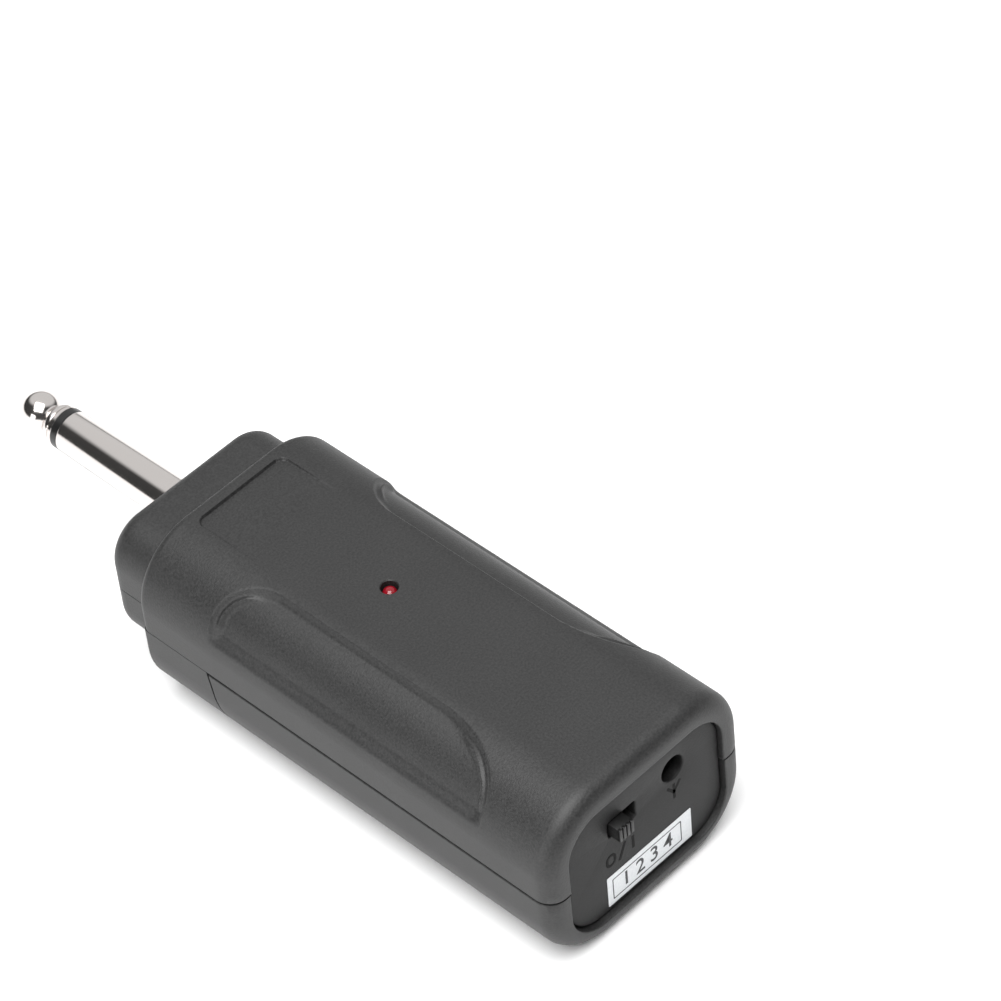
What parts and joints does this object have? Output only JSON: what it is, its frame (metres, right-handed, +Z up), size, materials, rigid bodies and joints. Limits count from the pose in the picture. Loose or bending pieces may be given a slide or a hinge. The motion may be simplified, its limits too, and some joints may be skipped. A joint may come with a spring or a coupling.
{
  "type": "wireless guitar transmitter",
  "caption": "Plug-on wireless transmitter: rounded moulded case with a fixed guitar plug, sliding battery door, power slide switch, lamp and antenna socket",
  "frame": {"origin": "centre of the footprint, on the underside of the case", "axes": "+Y runs along the plug from the control plate to the tip, +Z is up through the lamp, +X is to the right seen from the control plate"},
  "size_m": [0.036, 0.1178, 0.0279],
  "materials": {
    "case_abs": "fine spark-eroded texture, charcoal ABS",
    "plate_abs": "fine texture, a little darker than the case",
    "label_vinyl": "printed white vinyl",
    "plug_nickel": "polished nickel plate over brass",
    "plug_plastic": "smooth black nylon",
    "tinned_metal": "bright tin plate",
    "cell_can": "printed sleeve on a metal can",
    "contact_steel": "nickel plated spring steel",
    "board_laminate": "green solder mask on glass-fibre laminate",
    "black_nylon": "plain black nylon",
    "red_lens": "clear red epoxy",
    "chip_epoxy": "matt black epoxy",
    "capacitor_can": "satin aluminium can",
    "chip_ceramic": "dull ceramic with tinned ends",
    "screw_zinc": "bright zinc plate",
    "red_insulation": "red PVC",
    "black_insulation": "black PVC",
    "white_insulation": "white PVC"
  },
  "bodies": {
    "case": {"antenna_contact": "tinned_metal", "antenna_socket": "black_nylon", "battery_bridge": "contact_steel", "battery_left": "cell_can", "battery_negative_contact": "contact_steel", "battery_positive_contact": "contact_steel", "battery_right": "cell_can", "battery_springs": "contact_steel", "battery_wire_black": "black_insulation", "battery_wire_red": "red_insulation", "board_screws": "screw_zinc", "case_screws": "screw_zinc", "ceramic_capacitors": "chip_ceramic", "channel_label": "label_vinyl", "chips": "chip_epoxy", "crystal": "tinned_metal", "electrolytic_capacitors": "capacitor_can", "end_plate": "plate_abs", "inductor": "chip_epoxy", "led_leads": "tinned_metal", "led_lens": "red_lens", "lower_shell": "case_abs", "main_board": "board_laminate", "plug_insulator": "plug_plastic", "plug_sleeve": "plug_nickel", "plug_tip": "plug_nickel", "plug_washer": "plug_plastic", "plug_wire_ground": "black_insulation", "plug_wire_signal": "white_insulation", "resistors": "chip_ceramic", "rf_shield": "tinned_metal", "sleeve_lug": "tinned_metal", "switch_base": "black_nylon", "switch_frame": "tinned_metal", "switch_pins": "tinned_metal", "tip_lug": "tinned_metal", "upper_shell": "case_abs"},
    "battery_door": {"battery_door": "case_abs"},
    "switch_knob": {"switch_knob": "black_nylon"}
  },
  "joints": [
    {"name": "door_slide", "type": "slide", "parent": "case", "child": "battery_door", "axis": [0, -1, 0], "range_m": [0, 0.066]},
    {"name": "power_slide", "type": "slide", "parent": "case", "child": "switch_knob", "axis": [1, 0, 0], "range_m": [0, 0.0019]}
  ]
}
